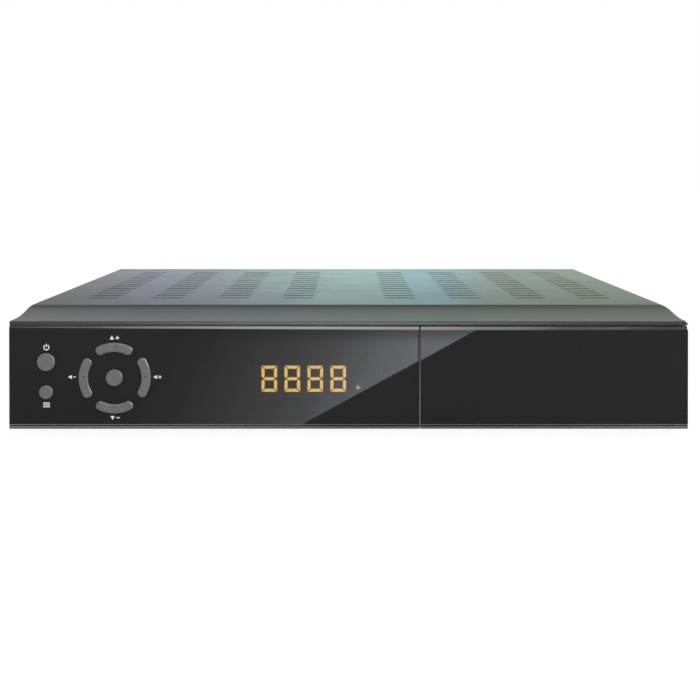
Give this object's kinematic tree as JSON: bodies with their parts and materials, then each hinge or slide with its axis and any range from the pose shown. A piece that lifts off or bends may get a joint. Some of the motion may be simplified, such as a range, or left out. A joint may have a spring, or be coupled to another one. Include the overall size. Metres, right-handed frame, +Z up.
{
  "type": "satellite tv receiver",
  "caption": "Low, wide satellite TV receiver: vented grey steel case, glossy black front with buttons and digit display, and a fold-down flap over a module bay.",
  "frame": {"origin": "middle of the footprint, on the surface that the feet stand on", "axes": "+X to the right as seen from the front, +Y to the back, so the buttons face -Y, and +Z up"},
  "size_m": [0.3014, 0.2248, 0.0577],
  "materials": {
    "cover_paint": "satin metallic grey paint",
    "zinc_steel": "zinc-plated sheet steel",
    "foot_rubber": "matt",
    "screw_steel": "nickel-plated",
    "frame_plastic": "finely textured moulding",
    "gloss_black": "polished black acrylic",
    "key_plastic": "satin grey paint",
    "board_green": "solder resist over laminate",
    "board_tan": "bare paper laminate",
    "socket_plastic": "moulded",
    "nickel": "bright nickel plate",
    "tin_plate": "tin-plated sheet",
    "sink_aluminium": "extruded",
    "display_resin": "dark epoxy face",
    "amber_light": "lit amber bars",
    "green_light": "lit green diode",
    "ivory_plastic": "moulded",
    "collar_plastic": "coloured collars: white, red and orange",
    "ferrite": "ferrite core with taped winding",
    "capacitor_sleeve": "printed sleeve, bare",
    "wire_sleeve": "insulation"
  },
  "bodies": {
    "case": {"top_cover": "cover_paint", "chassis_base": "zinc_steel", "rear_panel": "zinc_steel", "rubber_feet": "foot_rubber", "foot_screws": "screw_steel", "cover_side_screws": "screw_steel", "cover_rear_screws": "screw_steel", "fascia_frame": "frame_plastic", "display_panel": "gloss_black", "door_hinge_pins": "screw_steel", "latch_housing": "ivory_plastic", "front_board": "board_tan", "front_board_screws": "screw_steel", "tact_switches": "socket_plastic", "display_block": "display_resin", "digit_bars": "amber_light", "status_light": "green_light", "remote_eye": "socket_plastic", "module_cage": "tin_plate", "main_board": "board_green", "power_board": "board_tan", "board_standoffs": "nickel", "board_screws": "screw_steel", "decoder_chip": "socket_plastic", "memory_chips": "socket_plastic", "chip_heat_sink": "sink_aluminium", "front_ribbon": "ivory_plastic", "power_ribbon": "ivory_plastic", "tuner_can": "tin_plate", "aerial_input": "nickel", "aerial_loop_output": "nickel", "scart_socket_tv": "socket_plastic", "scart_socket_recorder": "socket_plastic", "phono_blocks": "socket_plastic", "phono_barrels": "nickel", "phono_collars": "collar_plastic", "serial_shell": "nickel", "serial_insert": "socket_plastic", "jack_nuts": "nickel", "mains_inlet": "socket_plastic", "inlet_pins": "nickel", "rocker_housing": "socket_plastic", "mains_wires": "wire_sleeve", "transformer": "ferrite", "mains_capacitor": "capacitor_sleeve", "output_capacitors": "capacitor_sleeve", "power_heat_sink": "sink_aluminium", "mains_fuse": "nickel"},
    "flap": {"card_door": "gloss_black"},
    "latch": {"latch_plunger": "frame_plastic"},
    "rocker": {"mains_rocker": "socket_plastic"},
    "upper_eject": {"upper_eject_key": "socket_plastic"},
    "lower_eject": {"lower_eject_key": "socket_plastic"},
    "standby_key": {"standby_button": "key_plastic"},
    "menu_key": {"menu_button": "key_plastic"},
    "ok_key": {"ok_button": "key_plastic"},
    "channel_up_key": {"channel_up_button": "key_plastic"},
    "channel_down_key": {"channel_down_button": "key_plastic"},
    "volume_down_key": {"volume_down_button": "key_plastic"},
    "volume_up_key": {"volume_up_button": "key_plastic"}
  },
  "joints": [
    {"name": "flap_hinge", "type": "hinge", "parent": "case", "child": "flap", "pos_m": [0.09085, -0.1066, 0.0075], "axis": [1, 0, 0], "range_deg": [0, 90]},
    {"name": "latch_push", "type": "slide", "parent": "case", "child": "latch", "axis": [0, 1, 0], "range_m": [0, 0.0015], "stiffness_N_per_m": 600},
    {"name": "rocker_tilt", "type": "hinge", "parent": "case", "child": "rocker", "pos_m": [-0.098, 0.0974, 0.0256], "axis": [1, 0, 0], "range_deg": [0, 16]},
    {"name": "upper_eject_push", "type": "slide", "parent": "case", "child": "upper_eject", "axis": [0, 1, 0], "range_m": [0, 0.003], "stiffness_N_per_m": 300},
    {"name": "lower_eject_push", "type": "slide", "parent": "case", "child": "lower_eject", "axis": [0, 1, 0], "range_m": [0, 0.003], "stiffness_N_per_m": 300},
    {"name": "standby_push", "type": "slide", "parent": "case", "child": "standby_key", "axis": [0, 1, 0], "range_m": [0, 0.0006], "stiffness_N_per_m": 2500},
    {"name": "menu_push", "type": "slide", "parent": "case", "child": "menu_key", "axis": [0, 1, 0], "range_m": [0, 0.0006], "stiffness_N_per_m": 2500},
    {"name": "ok_push", "type": "slide", "parent": "case", "child": "ok_key", "axis": [0, 1, 0], "range_m": [0, 0.0006], "stiffness_N_per_m": 2500},
    {"name": "channel_up_push", "type": "slide", "parent": "case", "child": "channel_up_key", "axis": [0, 1, 0], "range_m": [0, 0.0006], "stiffness_N_per_m": 2500},
    {"name": "channel_down_push", "type": "slide", "parent": "case", "child": "channel_down_key", "axis": [0, 1, 0], "range_m": [0, 0.0006], "stiffness_N_per_m": 2500},
    {"name": "volume_down_push", "type": "slide", "parent": "case", "child": "volume_down_key", "axis": [0, 1, 0], "range_m": [0, 0.0006], "stiffness_N_per_m": 2500},
    {"name": "volume_up_push", "type": "slide", "parent": "case", "child": "volume_up_key", "axis": [0, 1, 0], "range_m": [0, 0.0006], "stiffness_N_per_m": 2500}
  ]
}
